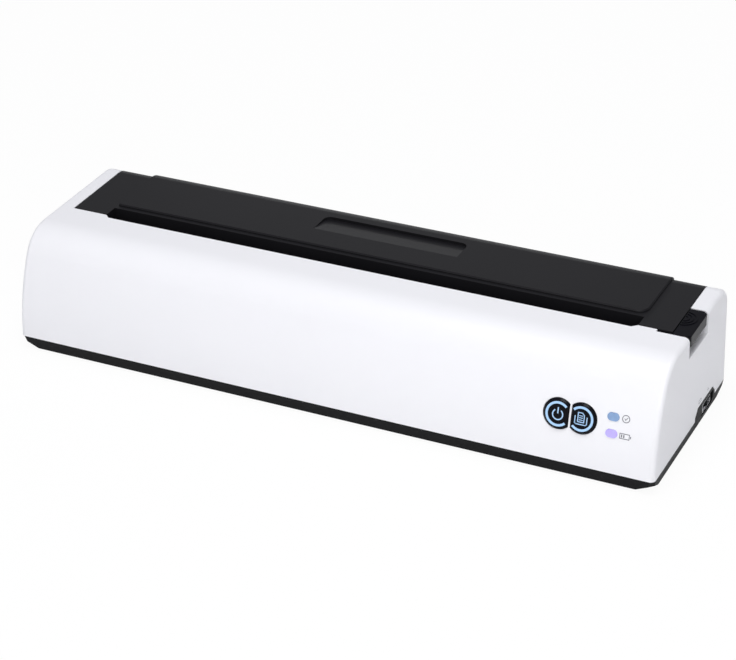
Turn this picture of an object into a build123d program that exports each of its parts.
from build123d import *
import math
import os

os.makedirs("parts", exist_ok=True)

# A portable printer for page-wide thermal paper. The frame stands on the table:
# X runs along the length towards the end with the socket, Y towards the back, Z up.
# The origin is on the table under the middle of the object. All sizes in millimetres.

# Overall sizes
length = 270.0
depth = 80.0
foot_reach = 1.0
tray_height = 5.0
shell_height = 42.0
wall = 2.0
end_round = 2.0
tray_cut = 1.6
seam_z = foot_reach + tray_height
top_z = seam_z + shell_height
half_length = length / 2
half_depth = depth / 2

# Side profile of the white shell
front_roll_radius = 16.0
front_roll_centre_y = -half_depth + 23.3
front_roll_lean = 27.7
back_roll_radius = 8.0
back_draft = 1.0

# Gaps between pieces
seam_gap = 0.3
running_gap = 0.05
slip_gap = 0.15

# Cover opening and cover
end_strip = 7.0
cover_thickness = 2.0
cover_front_y = -4.2
hinge_radius = 2.5
hinge_angle = 40.0
hinge_pin_radius = 1.0
hinge_clear_radius = 3.0

# Paper slot between the shell's lip and the cover's notch
slot_centre_x = 1.0
slot_margin = 14.5
slot_half = half_length - end_strip - slot_margin
slot_lip_y = -6.0
slot_ramp = 2.0
notch_back_y = 2.4
throat_wall = 2.0
throat_drop = 7.5

# Raised panel on the cover, and its shallow scoop
panel_rise = 0.9
panel_front_y = 4.5
panel_end_angle = 60.0
scoop_centre_x = 2.0
scoop_width = 62.0
scoop_front_y = 16.3
scoop_back_y = 27.8
scoop_depth = 1.2

# Platen roller, carried by the cover
roller_radius = 6.0
roller_half = slot_half - 6.5
shaft_radius = 2.5
platen_y = 11.0
platen_z = 37.0
bushing_radius = 4.0
arm_inner_x = roller_half + 2.5
arm_thickness = 2.5
shaft_right_x = half_length - 16.0

# Chassis side plates
plate_inner_x = arm_inner_x + arm_thickness + 1.0
plate_thickness = 1.5
chassis_screw_x = plate_inner_x + 5.0
chassis_screw_y = (0.0, 8.0)

# Gear train at the end away from the socket
gear_module = 0.6
platen_teeth = 20
idler_teeth = 30
pinion_teeth = 12
gear_inner_x = -half_length + 13.0
gear_width = 4.0
pinion_direction = -53.0

# Print head
head_slope = 35.0
head_gap = 0.3
head_half = roller_half + 1.0
substrate_thickness = 1.0
sink_thickness = 3.5
head_up = 4.0
head_down = 8.0

# Latch
latch_y = 5.0
latch_z = 21.0
latch_rod_radius = 1.5
latch_arm_x = plate_inner_x + plate_thickness + 0.7
latch_arm_thickness = 2.0
latch_arm_half = 1.4
latch_contact_angle = 10.0
lever_reach = 6.5

# Release button and its pocket in the socket end
pocket_front_y = -5.8
pocket_back_y = 15.3
pocket_inner_x = half_length - 13.0
pocket_floor_z = top_z - 9.1
pocket_wall = 1.4
pad_thickness = 4.7
stem_side = 4.0
stem_x = half_length - 10.0

# Keys and indicator lenses on the front
panel_x = half_length - 33.8
panel_z = 24.5
key_radius = 5.9
key_flat = 4.0
key_spacing = 9.0
key_proud = 0.7
key_bevel = 0.7
key_travel = 0.6
lens_x = 16.3
lens_width = 4.5
lens_height = 3.1
lens_up = 3.3
lens_down = -3.0
board_drop = 9.0

# Tray, port tab and socket
tray_floor = 1.5
tray_band = 2.6
tray_inset = 0.8
tray_corner = 6.5
tongue_height = 1.5
tongue_wall = 1.2
tongue_inset = wall + 0.4
inner_corner = 2.5
tab_front_y = 4.7
tab_back_y = 27.3
tab_height = 4.4
tab_corner = 3.0
socket_width = 9.2
socket_height = 3.9
socket_y = 19.3
socket_z = 5.75
socket_setback = 0.6

# Paper path at the back
guide_top_z = 30.0
guide_thickness = 1.5
inlet_height = 5.0
inlet_half = slot_half - 4.5

floor_z = foot_reach + tray_floor


def block(x_low, x_high, y_low, y_high, z_low, z_high):
    """A plain box between two corners."""
    middle = Pos((x_low + x_high) / 2, (y_low + y_high) / 2, (z_low + z_high) / 2)
    return middle * Box(x_high - x_low, y_high - y_low, z_high - z_low)


def rod(y, z, radius, x_low, x_high):
    """A round bar along X."""
    return Pos((x_low + x_high) / 2, y, z) * Rot(0, 90, 0) * Cylinder(radius, x_high - x_low)


def post(x, y, radius, z_low, z_high):
    """A round bar along Z."""
    return Pos(x, y, (z_low + z_high) / 2) * Cylinder(radius, z_high - z_low)


def prism(face, x_low, x_high):
    """A side profile, drawn in Y and Z, drawn out along X."""
    return extrude(Plane.YZ.offset(x_low) * face, amount=x_high - x_low)


def on_circle(centre, radius, degrees):
    """The point of a circle at an angle from +Y towards +Z."""
    angle = math.radians(degrees)
    return (centre[0] + radius * math.cos(angle), centre[1] + radius * math.sin(angle))


def arc(centre, radius, start, end):
    """An arc between two angles, as its start, middle and end points give it."""
    middle = (start + end) / 2
    points = [on_circle(centre, radius, angle) for angle in (start, middle, end)]
    return ThreePointArc(*points)


def polygon(points):
    """A flat face inside a closed run of straight lines."""
    return make_face(Polyline(*points, close=True))


def both_ends(solid):
    """The solid and its mirror image at the other end."""
    return [solid, mirror(solid, about=Plane.YZ)]


def joined(solids):
    """One shape out of a list of solids."""
    total = solids[0]
    for solid in solids[1:]:
        total = total + solid
    return total


def save(name, shape):
    """Write one node's STEP file."""
    export_step(shape, "parts/" + name + ".step")


# Side profile of the shell. The front is one long bow that runs over into the top roll,
# so the bow's radius follows from where it has to meet the seam.
front_roll_centre = (front_roll_centre_y, top_z - front_roll_radius)
front_roll_end = 180 - front_roll_lean
roll_foot = on_circle(front_roll_centre, front_roll_radius, front_roll_end)
rise = (roll_foot[0] + half_depth, roll_foot[1] - seam_z)
lean = math.radians(front_roll_lean)
along_normal = rise[0] * math.cos(lean) - rise[1] * math.sin(lean)
bow_radius = -(rise[0] ** 2 + rise[1] ** 2) / (2 * along_normal)
bow_centre = (roll_foot[0] + bow_radius * math.cos(lean), roll_foot[1] - bow_radius * math.sin(lean))
back_roll_centre = (half_depth - back_draft - back_roll_radius, top_z - back_roll_radius)


def shell_profile(inset):
    """The shell's side profile, moved inwards by a wall."""
    bow_start = 180 - math.degrees(math.asin((seam_z - bow_centre[1]) / (bow_radius - inset)))
    bow = arc(bow_centre, bow_radius - inset, bow_start, front_roll_end)
    front_roll = arc(front_roll_centre, front_roll_radius - inset, front_roll_end, 90)
    back_roll = arc(back_roll_centre, back_roll_radius - inset, 90, 0)
    top = Line(front_roll @ 1, back_roll @ 0)
    back_foot = (half_depth - inset, seam_z)
    back = Line(back_roll @ 1, back_foot)
    bottom = Line(back_foot, bow @ 0)
    return make_face(bow + front_roll + top + back_roll + back + bottom)


# The hinge line of the cover lies inside the back roll
hinge = on_circle(back_roll_centre, back_roll_radius - hinge_radius, hinge_angle)
hinge_y, hinge_z = hinge

# The plane of the keys touches the front bow
panel_lean = math.asin((panel_z - bow_centre[1]) / bow_radius)
panel_y = bow_centre[0] - bow_radius * math.cos(panel_lean)
key_panel = Plane(
    origin=(panel_x, panel_y, panel_z),
    x_dir=(1, 0, 0),
    z_dir=(0, -math.cos(panel_lean), math.sin(panel_lean)),
)
power_key_x = -key_spacing / 2
feed_key_x = key_spacing / 2


def key_outline(centre_x, grow, flat_side):
    """A round key with one side cut flat, on the key panel. flat_side is 1 or -1."""
    reach = 2 * key_radius
    disc = Pos(centre_x, 0) * Circle(key_radius + grow)
    cut_x = centre_x + flat_side * (key_flat + min(grow, slip_gap) + reach)
    return disc - Pos(cut_x, 0) * Rectangle(2 * reach, 3 * reach)


def panel_prism(outline, low, high):
    """A shape drawn on the key panel, between two depths along its normal."""
    return extrude(key_panel.offset(low) * outline, amount=high - low)


def lens_outline(height, grow):
    """The outline of an indicator lens on the key panel."""
    width = lens_width + 2 * grow
    tall = lens_height + 2 * grow
    return Pos(lens_x, height) * RectangleRounded(width, tall, tall / 2 - 0.05)


screw_x = half_length - 9.0
screw_y = half_depth - 7.5
screw_places = [(sign_x * screw_x, sign_y * screw_y) for sign_x in (-1, 1) for sign_y in (-1, 1)]
screw_places += [(-72.0, -screw_y), (56.0, screw_y)]
boss_radius = 3.0
screw_radius = 1.2


def tab_outline(grow):
    """The port tab of the tray, seen from the socket end."""
    low = tab_front_y - grow
    high = tab_back_y + grow
    top = seam_z + tab_height + grow
    points = [
        (low, seam_z - 1.0),
        (high, seam_z - 1.0),
        (high, top - tab_corner),
        (high - tab_corner, top),
        (low + tab_corner, top),
        (low, top - tab_corner),
    ]
    return polygon(points)


def make_upper_housing():
    """White upper shell with its openings, bosses, hinge lugs and button pocket."""
    outer = prism(shell_profile(0), -half_length, half_length)
    for end in (0, -1):
        face = outer.faces().sort_by(Axis.X)[end]
        rim = [edge for edge in face.edges() if edge.center().Z > seam_z + 0.5]
        outer = fillet(rim, end_round)
    inner = prism(shell_profile(wall), -half_length + wall, half_length - wall)
    shell = outer - inner

    # bosses for the tray screws, tied to the nearest wall
    for x, y in screw_places:
        boss = post(x, y, boss_radius, seam_z, seam_z + 9)
        out = math.copysign(half_depth - 1.2, y)
        rib = block(x - 0.8, x + 0.8, min(y, out), max(y, out), seam_z, seam_z + 9)
        shell += (boss + rib) & prism(shell_profile(wall / 2), -half_length + 1, half_length - 1)
    for x, y in screw_places:
        shell -= post(x, y, screw_radius, seam_z - 1, seam_z + 8)

    # the pocket under the release button
    pocket = block(
        pocket_inner_x - pocket_wall, half_length - wall / 2,
        pocket_front_y - pocket_wall, pocket_back_y + pocket_wall,
        pocket_floor_z - pocket_wall, top_z - cover_thickness - seam_gap,
    )
    shell += pocket

    # the cover's opening, with room for the hinge barrel
    opening_half = half_length - end_strip
    tall = top_z + 10
    cut = block(-opening_half, opening_half, cover_front_y, hinge_y, hinge_z, tall)
    cut += block(-opening_half, opening_half, hinge_y - 1, half_depth + 1, hinge_z - 1.2, tall)
    cut += rod(hinge_y, hinge_z, hinge_clear_radius, -opening_half, opening_half)
    keep = block(pocket_inner_x - pocket_wall, opening_half, pocket_front_y - pocket_wall,
                 pocket_back_y + pocket_wall, 0, top_z - cover_thickness - seam_gap)
    shell -= cut - keep

    # the lip along the paper slot, with a short ramp at each end
    lip_low = slot_centre_x - slot_half
    lip_high = slot_centre_x + slot_half
    lip = Polyline(
        (lip_low, cover_front_y + 1), (lip_low, cover_front_y), (lip_low + slot_ramp, slot_lip_y),
        (lip_high - slot_ramp, slot_lip_y), (lip_high, cover_front_y), (lip_high, cover_front_y + 1),
        close=True,
    )
    shell -= extrude(Plane.XY.offset(top_z - 3 * wall) * make_face(lip), amount=5 * wall)

    # the release button's well, open at the end wall, and the hole for its stem
    shell -= block(pocket_inner_x, half_length + 1, pocket_front_y, pocket_back_y, pocket_floor_z, tall)
    hole = stem_side / 2 + slip_gap
    stem_y = latch_y + lever_reach
    shell -= block(stem_x - hole, stem_x + hole, stem_y - hole, stem_y + hole, 30, pocket_floor_z + 1)

    # ledges that the closed cover rests on
    ledge = block(opening_half - 1.8, opening_half + 3, 19, 30,
                  top_z - cover_thickness - 1.6, top_z - cover_thickness)
    ledge += block(opening_half, opening_half + 3, 19, 30, top_z - cover_thickness - 1.6, top_z - 1)
    for piece in both_ends(ledge):
        shell += piece

    # hinge lugs at both ends of the opening, bored for the pins
    lug_low = opening_half
    lug = prism(shell_profile(wall / 2), lug_low, half_length - wall / 2)
    lug &= block(lug_low, half_length, hinge_y - 3.5, half_depth, hinge_z - 4, top_z)
    for piece in both_ends(lug):
        shell += piece
    pin_bore = rod(hinge_y, hinge_z, hinge_pin_radius, opening_half - 1, opening_half + 5)
    for piece in both_ends(pin_bore):
        shell -= piece

    # the paper inlet in the back wall and the notch for the tray's port tab
    shell -= block(-inlet_half, inlet_half, half_depth - 3 * wall, half_depth + 1,
                   guide_top_z, guide_top_z + inlet_height)
    shell -= prism(tab_outline(slip_gap), half_length - 2 * wall, half_length + 1)

    # the holes for the keys and the indicator lenses
    shell -= panel_prism(key_outline(power_key_x, slip_gap, 1), -5, 3)
    shell -= panel_prism(key_outline(feed_key_x, slip_gap, -1), -5, 3)
    for height in (lens_up, lens_down):
        shell -= panel_prism(lens_outline(height, running_gap), -5, 3)
    return shell


def octagon(inset, corner, z):
    """A rectangle with cut corners, at a height."""
    x = half_length - inset
    y = half_depth - inset
    points = [
        (x - corner, -y), (x, -y + corner), (x, y - corner), (x - corner, y),
        (-x + corner, y), (-x, y - corner), (-x, -y + corner), (-x + corner, -y),
    ]
    return Plane.XY.offset(z) * polygon(points)


def octagon_block(inset, z_low, z_high):
    """An upright block with the tray's inner corners."""
    return extrude(octagon(inset, inner_corner, z_low), amount=z_high - z_low, dir=(0, 0, 1))


foot_x = half_length - 23.0
foot_y = half_depth - 13.0
foot_places = [(sign_x * foot_x, sign_y * foot_y) for sign_x in (-1, 1) for sign_y in (-1, 1)]
foot_radius = 5.0
foot_recess = 0.6
board_front_y = -half_depth + 5.0
board_back_y = -8.0
board_low_x = -58.0
board_high_x = 88.0
board_posts = [(x, y) for x in (board_low_x + 8, board_high_x - 8)
               for y in (board_front_y + 4, board_back_y - 4)]
board_z = floor_z + 4.0
board_thickness = 1.6
cell_radius = 9.2
cell_length = 65.0
cell_y = half_depth - 15.0
cell_z = floor_z + cell_radius + 0.8
cell_start_x = -88.0


def make_base_tray():
    """Black tray that closes the shell from below, with the port tab."""
    low = octagon(tray_inset, tray_corner, foot_reach)
    middle = octagon(tray_inset / 2, tray_cut + tray_inset / 2, seam_z - tray_band)
    high = octagon(0, tray_cut, seam_z)
    tray = loft([low, middle], ruled=True) + loft([middle, high], ruled=True)
    tray -= octagon_block(wall, floor_z, seam_z + 1)

    # a tongue that locates the shell, broken at the tab
    tongue = octagon_block(tongue_inset, floor_z, seam_z + tongue_height)
    tongue -= octagon_block(tongue_inset + tongue_wall, floor_z - 1, seam_z + 5)
    for px, py in screw_places:
        tongue -= block(px - 5, px + 5, py - 8, py + 8, seam_z - 0.2, seam_z + 5)
    tray += tongue
    tray += prism(tab_outline(0), half_length - wall, half_length)
    tray += block(half_length - 2 * wall, half_length - wall, tab_front_y + 1, tab_back_y - 1,
                  floor_z, seam_z + tongue_height)

    # posts under the shell's bosses, with the screw holes and head recesses
    for px, py in screw_places:
        tray += post(px, py, boss_radius, foot_reach + 0.2, seam_z)
    for px, py in screw_places:
        tray -= post(px, py, screw_radius + slip_gap, 0, seam_z + 1)
        tray -= post(px, py, 2 * screw_radius + slip_gap, 0, foot_reach + 1.2)
    for px, py in foot_places:
        tray -= post(px, py, foot_radius, 0, foot_reach + foot_recess)
    for px, py in board_posts:
        tray += post(px, py, 2.2, foot_reach + 0.3, board_z)
        tray -= post(px, py, 0.9, floor_z, board_z + 1)

    for side in (-1, 1):
        for y in chassis_screw_y:
            tray -= post(side * chassis_screw_x, y, screw_radius, foot_reach + 0.4, floor_z + 1)

    # cradle ribs for the two cells
    for rib_x in (cell_start_x + 8, cell_start_x + 57, cell_start_x + 73, cell_start_x + 122):
        rib = block(rib_x - 1, rib_x + 1, cell_y - 10, cell_y + 10, foot_reach + 0.3, floor_z + 5)
        tray += rib - rod(cell_y, cell_z, cell_radius, rib_x - 2, rib_x + 2)

    # the window of the socket
    tray -= block(half_length - 3 * wall, half_length + 1, socket_y - 6.6, socket_y + 6.0,
                  socket_z - 2.2, socket_z + 3.0)
    return tray


def make_top_cover():
    """Black cover: plate, back roll, hinge barrel, throat wall and raised panel."""
    half = half_length - end_strip - seam_gap
    front = cover_front_y + seam_gap
    under = top_z - cover_thickness
    inner_radius = back_roll_radius - cover_thickness
    reach = back_roll_radius - hinge_radius
    spread = math.degrees(math.acos(
        (inner_radius ** 2 + reach ** 2 - hinge_radius ** 2) / (2 * inner_radius * reach)))
    join_angle = hinge_angle + spread
    join = on_circle(back_roll_centre, inner_radius, join_angle)
    join_turn = math.degrees(math.atan2(join[1] - hinge_z, join[0] - hinge_y))
    outer_roll = arc(back_roll_centre, back_roll_radius, 90, hinge_angle)
    barrel = arc(hinge, hinge_radius, hinge_angle, join_turn - 360)
    inner_roll = arc(back_roll_centre, inner_radius, join_angle, 90)
    top = Line((front, top_z), outer_roll @ 0)
    bottom = Line(inner_roll @ 1, (front, under))
    nose = Line((front, under), (front, top_z))
    plate = prism(make_face(top + outer_roll + barrel + inner_roll + bottom + nose), -half, half)
    plate -= block(slot_centre_x - slot_half, slot_centre_x + slot_half, front - 1, notch_back_y, 40, 60)

    # the throat wall behind the slot, and the cheeks at its ends
    low = slot_centre_x - slot_half
    high = slot_centre_x + slot_half
    plate += block(low - throat_wall, high + throat_wall, notch_back_y, notch_back_y + throat_wall,
                   top_z - throat_drop, top_z - 1)
    plate += block(low - throat_wall, low, front, notch_back_y + 1, under - 3.8, under + 1)
    plate += block(high, high + throat_wall, front, notch_back_y + 1, under - 3.8, under + 1)

    # the raised panel: rounded front corners and a softened edge
    panel_low = slot_centre_x - slot_half
    panel_high = slot_centre_x + slot_half
    panel_top = top_z + panel_rise
    roll = arc(back_roll_centre, back_roll_radius + panel_rise, 90, panel_end_angle)
    roll_under = arc(back_roll_centre, back_roll_radius - 0.8, panel_end_angle, 90)
    side = make_face(
        Line((panel_front_y, panel_top), roll @ 0) + roll + Line(roll @ 1, roll_under @ 0)
        + roll_under + Line(roll_under @ 1, (panel_front_y, top_z - 0.8))
        + Line((panel_front_y, top_z - 0.8), (panel_front_y, panel_top)))
    panel = prism(side, panel_low, panel_high)
    upright = panel.edges().filter_by(Axis.Z).sort_by(Axis.X)
    panel = fillet(upright[0], 1.5)
    upright = panel.edges().filter_by(Axis.Z).sort_by(Axis.X)
    panel = fillet(upright[-1], 4.0)
    top_face = panel.faces().filter_by(Axis.Z).sort_by(Axis.Z)[-1]
    panel = chamfer([edge for edge in top_face.edges() if edge.center().Y < 30.5], 0.5)
    cover = plate + panel

    # the scoop, deepest at its back edge
    scoop = polygon([
        (scoop_front_y, panel_top), (scoop_back_y, panel_top - scoop_depth),
        (scoop_back_y, panel_top + 2), (scoop_front_y, panel_top + 2),
    ])
    scoop_half = scoop_width / 2
    dish = prism(scoop, scoop_centre_x - scoop_half, scoop_centre_x + scoop_half)
    dish = fillet(dish.edges().filter_by(Axis.Z).group_by(Axis.Y)[-1], 3.0)
    cover -= dish

    # bores for the hinge pins and the blind holes of the carrier's screws
    bore = rod(hinge_y, hinge_z, hinge_pin_radius + running_gap, half - 8, half + 1)
    for piece in both_ends(bore):
        cover -= piece
    for x, y in carrier_screws:
        cover -= post(x, y, 0.9, under - 1, under + 1.3)
    return cover


carrier_screws = [(sign_x * 95.0, 24.0) for sign_x in (-1, 1)] + [(-30.0, 24.0), (30.0, 24.0)]
beam_thickness = 1.8
screw_head_height = 1.0


def make_platen_carrier():
    """Inner moulding of the cover that carries the platen roller between two arms."""
    under = top_z - cover_thickness
    beam_low = under - beam_thickness
    outer = arm_inner_x + arm_thickness
    beam = block(-outer, outer, notch_back_y + throat_wall + 0.2, 28, beam_low, under)
    arm_side = polygon([
        (platen_y - 6.2, platen_z), (platen_y - 6.2, under), (platen_y + 12, under),
        (platen_y + 12, under - 3), (platen_y + 6.2, platen_z),
    ])
    arm = prism(arm_side, arm_inner_x, outer)
    arm += rod(platen_y, platen_z, 6.2, arm_inner_x, outer)
    carrier = beam
    for piece in both_ends(arm):
        carrier += piece
    for piece in both_ends(rod(platen_y, platen_z, bushing_radius, arm_inner_x - 1, outer + 1)):
        carrier -= piece
    for x, y in carrier_screws:
        carrier -= post(x, y, 0.9 + slip_gap, beam_low - 1, under + 1)
    return carrier


def make_carrier_screws():
    """Four small screws that hold the carrier to the cover."""
    under = top_z - cover_thickness
    beam_low = under - beam_thickness
    screws = []
    for x, y in carrier_screws:
        head = post(x, y, 1.9, beam_low - screw_head_height, beam_low)
        shank = post(x, y, 0.9, beam_low - 0.2, under + 1.2)
        slot = block(x - 1.2, x + 1.2, y - 0.25, y + 0.25, beam_low - 1.5, beam_low - 0.5)
        screws.append(head + shank - slot)
    return screws


def make_bushings():
    """Two plastic bushings that turn nothing and carry the platen shaft."""
    ring = rod(platen_y, platen_z, bushing_radius, arm_inner_x - 0.8, latch_arm_x + latch_arm_thickness + 0.6)
    ring -= rod(platen_y, platen_z, shaft_radius + running_gap, arm_inner_x - 3, shaft_right_x + 3)
    return both_ends(ring)


# Gear train: the idler lies where the platen gear lifts straight out of mesh
def pitch_radius(teeth):
    return gear_module * teeth / 2


lift = (platen_z - hinge_z, hinge_y - platen_y)
lift_size = math.hypot(*lift)
mesh_distance = pitch_radius(platen_teeth) + pitch_radius(idler_teeth)
idler_y = platen_y - lift[0] / lift_size * mesh_distance
idler_z = platen_z - lift[1] / lift_size * mesh_distance
drive_distance = pitch_radius(idler_teeth) + pitch_radius(pinion_teeth)
motor_y, motor_z = on_circle((idler_y, idler_z), drive_distance, pinion_direction)
to_platen = math.degrees(math.atan2(platen_z - idler_z, platen_y - idler_y))
tooth_step = 360 / idler_teeth
lag = (to_platen - pinion_direction) % tooth_step
idler_phase = to_platen
platen_phase = to_platen + 180 + 180 / platen_teeth
pinion_phase = pinion_direction + 180 - lag * idler_teeth / pinion_teeth + 180 / pinion_teeth


def gear(centre, teeth, phase, x_low, x_high, bore):
    """A spur gear with straight flanks, one tooth at the phase angle."""
    radius = pitch_radius(teeth)
    tip = radius + 0.9 * gear_module
    root = radius - 1.15 * gear_module
    half_tooth = 0.2 * math.pi * gear_module
    slope = math.tan(math.radians(20))
    at_tip = math.degrees((half_tooth - 0.9 * gear_module * slope) / tip)
    at_root = math.degrees((half_tooth + 1.15 * gear_module * slope) / root)
    points = []
    for index in range(teeth):
        middle = phase + index * 360 / teeth
        points.append(on_circle(centre, root, middle - at_root))
        points.append(on_circle(centre, tip, middle - at_tip))
        points.append(on_circle(centre, tip, middle + at_tip))
        points.append(on_circle(centre, root, middle + at_root))
    return prism(polygon(points), x_low, x_high) - rod(centre[0], centre[1], bore, x_low - 1, x_high + 1)


gear_outer_x = gear_inner_x - gear_width


def make_platen_gear():
    return gear((platen_y, platen_z), platen_teeth, platen_phase, gear_outer_x, gear_inner_x, shaft_radius)


def make_platen_shaft():
    """Steel shaft through the roller, the bushings and the gear."""
    return rod(platen_y, platen_z, shaft_radius, gear_outer_x - 0.3, shaft_right_x)


def make_platen_roller():
    """Rubber sleeve of the platen."""
    sleeve = rod(platen_y, platen_z, roller_radius, -roller_half, roller_half)
    return sleeve - rod(platen_y, platen_z, shaft_radius, -roller_half - 1, roller_half + 1)


idler_post_radius = 1.5
hub_length = 3.0


def make_idler_gear():
    """Idler gear with a hub on its plate side."""
    blank = gear((idler_y, idler_z), idler_teeth, idler_phase, gear_outer_x, gear_inner_x,
                 idler_post_radius + running_gap)
    groove = rod(idler_y, idler_z, 6.5, gear_outer_x - 1, gear_outer_x + 1.2)
    groove -= rod(idler_y, idler_z, 3.2, gear_outer_x - 1, gear_outer_x + 1.2)
    hub = rod(idler_y, idler_z, 3.0, gear_inner_x, gear_inner_x + hub_length)
    hub -= rod(idler_y, idler_z, idler_post_radius + running_gap, gear_inner_x - 1, gear_inner_x + 4)
    return blank - groove + hub


def make_idler_post():
    """Post riveted into the side plate, with the clip that keeps the idler on."""
    shank = rod(idler_y, idler_z, idler_post_radius, gear_outer_x - 1.2, -plate_inner_x)
    collar = rod(idler_y, idler_z, 2.2, gear_inner_x + hub_length + seam_gap,
                 -plate_inner_x - plate_thickness)
    clip = rod(idler_y, idler_z, 2.6, gear_outer_x - 0.9, gear_outer_x - 0.2)
    return shank + collar + clip


motor_radius = 9.0
motor_length = 10.0
motor_shaft_radius = 1.0


def make_motor_pinion():
    """Brass pinion on the motor's shaft."""
    wheel = gear((motor_y, motor_z), pinion_teeth, pinion_phase, gear_outer_x, gear_inner_x,
                 motor_shaft_radius)
    shaft = rod(motor_y, motor_z, motor_shaft_radius, gear_outer_x, -plate_inner_x + 4)
    return wheel + shaft


def make_drive_motor():
    """Round stepper motor with two fixing ears."""
    x_low = -plate_inner_x
    body = rod(motor_y, motor_z, motor_radius, x_low, x_low + motor_length)
    ears = block(x_low, x_low + 1, motor_y - 13, motor_y + 13, motor_z - 3, motor_z + 3)
    body += ears & rod(motor_y, motor_z, 12.6, x_low, x_low + 1)
    plug = block(x_low + 2, x_low + 8, motor_y - 4, motor_y + 4, motor_z + 6, motor_z + motor_radius + 2)
    body += plug
    return body - rod(motor_y, motor_z, motor_shaft_radius + running_gap, x_low - 1, x_low + 5)


# Print head: a ceramic strip on a heat sink, leaning against the platen
slope_angle = math.radians(head_slope)
away = (-math.cos(slope_angle), -math.sin(slope_angle))
upward = (-math.sin(slope_angle), math.cos(slope_angle))


def head_point(along, out):
    """A point beside the platen: along the head's face, and away from the roller."""
    reach = roller_radius + out
    return (platen_y + away[0] * reach + upward[0] * along, platen_z + away[1] * reach + upward[1] * along)


def head_strip(low, high, near, far):
    """A bar lying along the head's face."""
    return polygon([
        head_point(low, near), head_point(high, near), head_point(high, far), head_point(low, far),
    ])


sink_near = head_gap + substrate_thickness
sink_far = sink_near + sink_thickness
head_pivot = head_point(-head_down + 1.8, sink_near + sink_thickness / 2)
head_pin_radius = 1.2


def make_print_head():
    """Ceramic heater strip with its heating line and driver cover."""
    strip = prism(head_strip(-head_down, head_up, head_gap, sink_near), -head_half, head_half)
    cover = prism(head_strip(-head_down + 0.5, -head_down + 3.2, head_gap - 0.6, head_gap), -head_half + 6,
                  head_half - 6)
    return strip + cover


def make_heat_sink():
    """Aluminium bar behind the strip, with a pivot pin at each end."""
    bar = prism(head_strip(-head_down, head_up, sink_near, sink_far), -head_half, head_half)
    for along in (-5.5, -3.0, -0.5, 2.0):
        groove = head_strip(along, along + 1.2, sink_far - 1.2, sink_far + 1)
        bar -= prism(groove, -head_half + 8, head_half - 8)
    pin = rod(head_pivot[0], head_pivot[1], head_pin_radius, head_half - 1, plate_inner_x + plate_thickness)
    return joined([bar] + both_ends(pin))


rail_near = sink_far + 4.4
rail_thickness = 1.2
spring_radius = 2.5
spring_places = (-80.0, 0.0, 80.0)


def make_spring_rail():
    """Steel strip between the side plates that the head's springs push against."""
    return prism(head_strip(-5, 1, rail_near, rail_near + rail_thickness), -plate_inner_x, plate_inner_x)


def make_head_springs():
    """Three short springs behind the heat sink, drawn as sleeves."""
    base = head_point(-2, sink_far)
    springs = []
    for x in spring_places:
        seat = Plane(origin=(x, base[0], base[1]), x_dir=(1, 0, 0), z_dir=(0, away[0], away[1]))
        ring = Circle(spring_radius) - Circle(spring_radius - 0.7)
        springs.append(extrude(seat * ring, amount=rail_near - sink_far))
    return springs


def make_side_plate(side):
    """Steel side plate: notch for the bushing, holes for the pivots, foot on the tray."""
    outer_x = plate_inner_x + plate_thickness
    heel_y = half_depth - 6 if side < 0 else 12
    outline = polygon([
        (-3, floor_z), (heel_y, floor_z), (heel_y, 22), (21, 26.5), (21, 40), (1, 40), (-3, 33),
    ])
    plate = prism(outline, plate_inner_x, outer_x)
    clear = bushing_radius + 0.1
    drift = math.atan2(-lift[0], lift[1])
    notch = polygon([
        (platen_y + clear, platen_z), (platen_y + clear, 45),
        (platen_y - clear - math.tan(drift) * 8, 45), (platen_y - clear, platen_z),
    ])
    plate -= prism(notch, plate_inner_x - 1, outer_x + 1)
    plate -= rod(platen_y, platen_z, clear, plate_inner_x - 1, outer_x + 1)
    plate -= rod(latch_y, latch_z, latch_rod_radius + running_gap, plate_inner_x - 1, outer_x + 1)
    plate -= rod(head_pivot[0], head_pivot[1], head_pin_radius + running_gap, plate_inner_x - 1, outer_x + 1)
    plate += block(plate_inner_x, plate_inner_x + 8, -3, 12, floor_z, floor_z + plate_thickness)
    for y in chassis_screw_y:
        plate -= post(chassis_screw_x, y, screw_radius + 0.1, 0, 8)
    if side < 0:
        plate = mirror(plate, about=Plane.YZ)
        plate -= rod(idler_y, idler_z, idler_post_radius, -outer_x - 1, -plate_inner_x + 1)
        plate -= rod(motor_y, motor_z, motor_shaft_radius + 1.0, -outer_x - 1, -plate_inner_x + 1)
    return plate


def make_chassis_screws():
    """Four screws that hold the side plates' feet to the tray."""
    screws = []
    top = floor_z + plate_thickness
    for y in chassis_screw_y:
        head = post(chassis_screw_x, y, 2.2, top, top + 1.3)
        shank = post(chassis_screw_x, y, screw_radius, foot_reach + 0.4, top + 0.1)
        slot = block(chassis_screw_x - 1.4, chassis_screw_x + 1.4, y - 0.3, y + 0.3, top + 0.8, top + 2)
        screws += both_ends(head + shank - slot)
    return screws


def make_paper_guide():
    """Black plate that leads the paper from the inlet to the platen."""
    outline = polygon([
        (13, guide_top_z - guide_thickness), (13, guide_top_z - 0.6), (14, guide_top_z),
        (half_depth - 3.4, guide_top_z), (half_depth - 3.4, guide_top_z - guide_thickness),
    ])
    guide = prism(outline, -plate_inner_x, plate_inner_x)
    for index in range(-5, 6):
        guide += block(index * 20 - 0.5, index * 20 + 0.5, 16, half_depth - 3.4,
                       guide_top_z - guide_thickness - 3, guide_top_z - guide_thickness + 0.2)
    return guide


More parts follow.
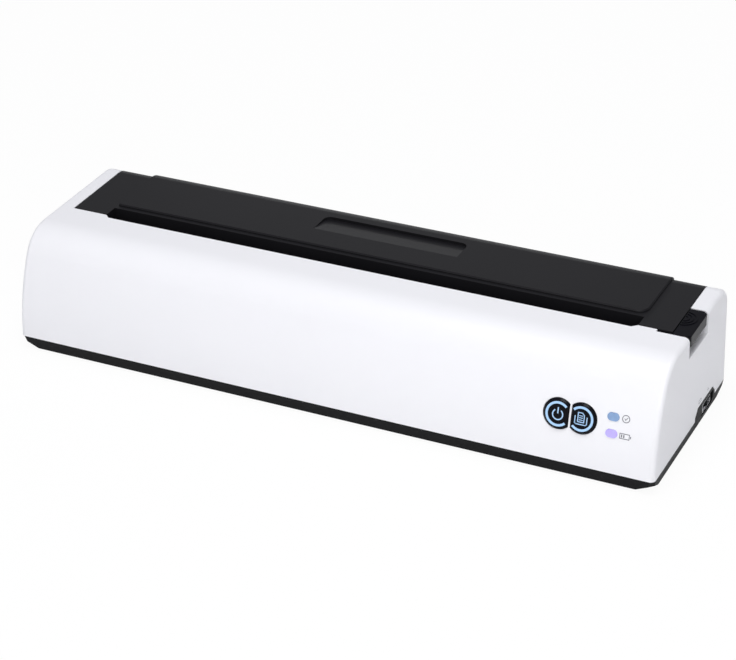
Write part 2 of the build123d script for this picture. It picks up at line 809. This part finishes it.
def make_exit_guide():
    """Black plate in front of the head that leads the paper up and out."""
    outline = polygon([
        (slot_lip_y - 0.2, top_z - wall - 0.1), (slot_lip_y - 1.8, top_z - wall - 0.1),
        (-3.2, 37.0), (-1.6, 37.0),
    ])
    guide = prism(outline, -plate_inner_x, plate_inner_x)
    foot = polygon([(-3.2, 37.0), (-1.6, 37.0), (-1.6, 31.5), (-3.0, 31.5), (-3.0, 33.0)])
    tabs = prism(foot, plate_inner_x - 8, plate_inner_x + plate_thickness)
    for piece in both_ends(tabs):
        guide += piece
    for piece in both_ends(prism(foot, plate_inner_x, plate_inner_x + plate_thickness)):
        guide -= piece
    return guide


# Latch: two sprung arms on one rod press on the bushings from behind, and swing clear
# when the release button's stem turns the rod. They lie outside the bushings' way up.
latch_end_x = stem_x + stem_side / 2


def bar(start, end, half):
    """A flat bar with round ends, seen from the side."""
    run = (end[0] - start[0], end[1] - start[1])
    size = math.hypot(*run)
    side = (-run[1] / size * half, run[0] / size * half)
    outline = polygon([
        (start[0] + side[0], start[1] + side[1]), (end[0] + side[0], end[1] + side[1]),
        (end[0] - side[0], end[1] - side[1]), (start[0] - side[0], start[1] - side[1]),
    ])
    return outline + Pos(*start) * Circle(half) + Pos(*end) * Circle(half)


def make_latch_arms():
    """Two cranked steel arms whose upright ends bear on the back of the bushings."""
    reach = bushing_radius + slip_gap + latch_arm_half
    contact = on_circle((platen_y, platen_z), reach, latch_contact_angle)
    slant = math.tan(math.radians(latch_contact_angle))
    tip = (contact[0], contact[1])
    elbow = (tip[0] + 4.7 * slant, tip[1] - 4.7)
    knee = on_circle((latch_y, latch_z), 10.0, 59.0)
    side = bar((latch_y, latch_z), knee, latch_arm_half)
    side += bar(knee, elbow, latch_arm_half)
    side += bar(elbow, tip, latch_arm_half)
    side += Pos(latch_y, latch_z) * Circle(3.2)
    side -= Pos(latch_y, latch_z) * Circle(latch_rod_radius)
    return both_ends(prism(side, latch_arm_x, latch_arm_x + latch_arm_thickness))


def make_latch_rod():
    """Steel rod across the chassis that turns both arms."""
    far_end_x = -latch_arm_x - latch_arm_thickness - 0.8
    return rod(latch_y, latch_z, latch_rod_radius, far_end_x, latch_end_x + 1.5)


pad_round = 1.5
pad_top_z = latch_z + 4.0


def make_latch_lever():
    """Arm on the rod under the release button's stem."""
    x_low = stem_x - 1.8
    x_high = stem_x + 1.8
    tip_y = latch_y + lever_reach
    tip_z = pad_top_z - pad_round
    turn = math.degrees(math.atan2(tip_z - latch_z, lever_reach))
    lever = block(x_low, x_high, 0, math.hypot(lever_reach, tip_z - latch_z), -1.4, 1.4)
    lever = Pos(0, latch_y, latch_z) * Rot(turn, 0, 0) * lever
    lever += rod(tip_y, tip_z, pad_round, x_low, x_high)
    lever += rod(latch_y, latch_z, 3.0, x_low, x_high)
    return lever - rod(latch_y, latch_z, latch_rod_radius, x_low - 1, x_high + 1)


def make_latch_spring():
    """Torsion spring on the rod, drawn as a sleeve."""
    sleeve = rod(latch_y, latch_z, 2.6, latch_arm_x + latch_arm_thickness + 0.8, stem_x - 2.4)
    return sleeve - rod(latch_y, latch_z, latch_rod_radius, latch_arm_x, stem_x)


tongue_front = 1.5


def make_release_button():
    """Thumb pad at the socket end, with grip ridges and the stem that works the latch."""
    x_low = half_length - end_strip + slip_gap
    x_high = half_length - 0.1
    y_low = pocket_front_y + seam_gap
    y_high = pocket_back_y - seam_gap
    z_low = top_z - pad_thickness
    pad = block(x_low, x_high, y_low, y_high, z_low, top_z)
    outer_edges = pad.edges().filter_by(Axis.Z).group_by(Axis.X)[-1]
    pad = fillet(outer_edges, 2.0)
    top_face = pad.faces().sort_by(Axis.Z)[-1]
    pad = chamfer([edge for edge in top_face.edges() if edge.center().X > x_low + 0.5], 0.4)
    for radius in (2.2, 3.7, 5.2):
        ring = Circle(radius) - Circle(radius - 0.7)
        ring = Pos(x_low, (y_low + y_high) / 2 + 2.5) * ring
        ridge = extrude(Plane.XY.offset(top_z - 0.3) * ring, amount=0.55)
        pad += ridge & block(x_low + 0.3, x_high, y_low, y_high, top_z - 1, top_z + 1)

    # the tongue under the cover, well behind the throat wall, and the stem below it
    half = stem_side / 2
    stem_y = latch_y + lever_reach
    tongue_z = top_z - cover_thickness - 2 * seam_gap
    pad += block(stem_x - half, x_low + 1, stem_y - tongue_front, y_high - 0.5, z_low, tongue_z)
    return pad + block(stem_x - half, stem_x + half, stem_y - half, stem_y + half,
                       pad_top_z + 0.1, z_low + 1)


def make_key(centre_x, flat_side):
    """A key cap with a flange behind the wall and a plunger for its switch."""
    cap = panel_prism(key_outline(centre_x, 0, flat_side), -3.2, key_proud)
    front = cap.faces().sort_by(Axis((0, 0, 0), key_panel.z_dir))[-1]
    cap = chamfer(front.edges(), key_bevel)
    cap += panel_prism(key_outline(centre_x, 1.2, flat_side), -3.4, -2.6)
    cap += panel_prism(Pos(centre_x, 0) * Circle(1.5), -board_drop + tact_height - plunger_entry, -3.0)
    return cap


tact_height = 3.4
plunger_entry = 0.4


def make_key_board():
    """Small board behind the keys and the indicators, tilted like the front."""
    outline = Pos(2.25, 0) * Rectangle(38.5, 19)
    board = panel_prism(outline, -board_drop - 1.2, -board_drop)
    stand = panel_prism(Pos(-14.5, 0) * Circle(2.0) + Pos(20.0, 0.2) * Circle(1.4), -board_drop, -wall + 0.4)
    return board, stand


def make_tact_switches():
    """One switch under each key, with a pit that the plunger works in."""
    switches = []
    pit_depth = plunger_entry + key_travel + 0.2
    for x in (power_key_x, feed_key_x):
        body = panel_prism(Pos(x, 0) * Rectangle(6, 6), -board_drop, -board_drop + tact_height)
        pit = panel_prism(Pos(x, 0) * Circle(1.7), -board_drop + tact_height - pit_depth, 0)
        switches.append(body - pit)
    return switches


def make_lens(height):
    """A clear indicator lens with its light pipe."""
    face = panel_prism(lens_outline(height, 0), -2.6, 0.2)
    pipe = panel_prism(lens_outline(height, -0.5), -board_drop + 2.2, -2.4)
    return face + pipe


def make_status_leds():
    """The two lamps behind the lenses."""
    lamps = []
    for height in (lens_up, lens_down):
        outline = Pos(lens_x, height) * Rectangle(3.2, 1.8)
        lamps.append(panel_prism(outline, -board_drop, -board_drop + 2.0))
    return lamps


def make_main_board():
    """Main circuit board with its chips and sockets."""
    top = board_z + board_thickness
    board = block(board_low_x, board_high_x, board_front_y, board_back_y, board_z, top)
    for x, y in board_posts:
        board -= post(x, y, 1.2, board_z - 1, board_z + 4)
    parts = [
        block(-10, 4, board_front_y + 7, board_back_y - 6, top, top + 1.4),
        block(20, 29, board_front_y + 9, board_back_y - 9, top, top + 1.2),
        block(-44, -26, board_back_y - 6, board_back_y - 1, top, top + 5.5),
        block(48, 70, board_back_y - 6, board_back_y - 1, top, top + 5.5),
        post(-30, board_front_y + 8, 4, top, top + 8),
        post(60, board_front_y + 8, 3.1, top, top + 7),
    ]
    return joined([board] + parts)


def make_board_screws():
    """Four pan-head screws of the main board."""
    screws = []
    top = board_z + board_thickness
    for x, y in board_posts:
        head = post(x, y, 2.0, top, top + 1.3)
        shank = post(x, y, 0.9, floor_z + 0.3, top + 0.1)
        slot = block(x - 1.3, x + 1.3, y - 0.3, y + 0.3, top + 0.8, top + 2)
        screws.append(head + shank - slot)
    return screws


def make_battery_cells():
    """Two round cells end to end, each with its raised contact."""
    cells = []
    for index in range(2):
        x_low = cell_start_x + index * (cell_length + 1.2)
        cell = rod(cell_y, cell_z, cell_radius, x_low, x_low + cell_length)
        tip = rod(cell_y, cell_z, 3.0, x_low + cell_length - 0.5, x_low + cell_length + 1.2)
        cells.append(cell + tip)
    return cells


port_board_z = socket_z - socket_height / 2


def make_port_board():
    """Small board that carries the charging and data socket."""
    low = half_length - 19.0
    board = block(low, half_length - wall - 2.4, 13, 29, floor_z + 0.4, port_board_z)
    board += block(low + 1.5, low + 7, 17.5, 23.5, port_board_z, port_board_z + 1.2)
    for x, y in ((low + 2.5, 15), (low + 2.5, 27)):
        board += post(x, y, 1.6, floor_z, floor_z + 0.6)
    return board


def make_usb_socket():
    """Metal shell of the socket with its tongue."""
    outer_x = half_length - socket_setback
    half_width = socket_width / 2
    half_height = socket_height / 2
    profile = Pos(socket_y, socket_z) * RectangleRounded(socket_width, socket_height, 0.9)
    hollow = Pos(socket_y, socket_z) * RectangleRounded(socket_width - 0.7, socket_height - 0.7, 0.6)
    shell = prism(profile, outer_x - 8, outer_x) - prism(hollow, outer_x - 7, outer_x + 1)
    tongue = block(outer_x - 7.5, outer_x - 1.2, socket_y - half_width + 1.6, socket_y + half_width - 1.6,
                   socket_z - 0.4, socket_z + half_height - 1.2)
    return shell + tongue


def make_feet():
    """Four round rubber feet in their recesses."""
    feet = []
    for x, y in foot_places:
        foot = post(x, y, foot_radius, 0, foot_reach + foot_recess)
        bottom = foot.faces().sort_by(Axis.Z)[0]
        feet.append(chamfer(bottom.edges(), 0.3))
    return feet


def make_tray_screws():
    """Six screws that hold the tray to the shell."""
    screws = []
    for x, y in screw_places:
        head = post(x, y, 2 * screw_radius, foot_reach + 0.1, foot_reach + 1.2)
        shank = post(x, y, screw_radius, foot_reach + 1, seam_z + 7)
        slot = block(x - 1.6, x + 1.6, y - 0.3, y + 0.3, 0, foot_reach + 0.6)
        slot += block(x - 0.3, x + 0.3, y - 1.6, y + 1.6, 0, foot_reach + 0.6)
        screws.append(head + shank - slot)
    return screws


def make_hinge_pins():
    """Two steel pins pressed into the shell's lugs."""
    inner = half_length - end_strip - seam_gap - 7.5
    return both_ends(rod(hinge_y, hinge_z, hinge_pin_radius, inner, half_length - end_strip + 5))


key_board, key_stands = make_key_board()

nodes = {
    "base_tray": make_base_tray(),
    "upper_housing": make_upper_housing() + key_stands,
    "rubber_feet": Compound(children=make_feet()),
    "tray_screws": Compound(children=make_tray_screws()),
    "hinge_pins": Compound(children=make_hinge_pins()),
    "main_board": make_main_board(),
    "board_screws": Compound(children=make_board_screws()),
    "port_board": make_port_board(),
    "usb_socket": make_usb_socket(),
    "battery_cells": Compound(children=make_battery_cells()),
    "key_board": key_board,
    "tact_switches": Compound(children=make_tact_switches()),
    "status_leds": Compound(children=make_status_leds()),
    "ready_lens": make_lens(lens_up),
    "battery_lens": make_lens(lens_down),
    "left_side_plate": make_side_plate(-1),
    "right_side_plate": make_side_plate(1),
    "chassis_screws": Compound(children=make_chassis_screws()),
    "paper_guide": make_paper_guide(),
    "exit_guide": make_exit_guide(),
    "spring_rail": make_spring_rail(),
    "head_springs": Compound(children=make_head_springs()),
    "drive_motor": make_drive_motor(),
    "idler_post": make_idler_post(),
    "print_head": make_print_head(),
    "heat_sink": make_heat_sink(),
    "idler_gear": make_idler_gear(),
    "motor_pinion": make_motor_pinion(),
    "top_cover": make_top_cover(),
    "platen_carrier": make_platen_carrier(),
    "carrier_screws": Compound(children=make_carrier_screws()),
    "platen_bushings": Compound(children=make_bushings()),
    "platen_shaft": make_platen_shaft(),
    "platen_roller": make_platen_roller(),
    "platen_gear": make_platen_gear(),
    "release_button": make_release_button(),
    "latch_rod": make_latch_rod(),
    "latch_arms": Compound(children=make_latch_arms()),
    "latch_lever": make_latch_lever(),
    "latch_spring": make_latch_spring(),
    "power_key": make_key(power_key_x, 1),
    "feed_key": make_key(feed_key_x, -1),
}

for node, shape in nodes.items():
    save(node, shape)

print("hinge", round(hinge_y, 3), round(hinge_z, 3))
print("idler", round(idler_y, 3), round(idler_z, 3), "motor", round(motor_y, 3), round(motor_z, 3))
print("head pivot", [round(value, 3) for value in head_pivot])
print("key panel normal", [round(value, 4) for value in key_panel.z_dir])
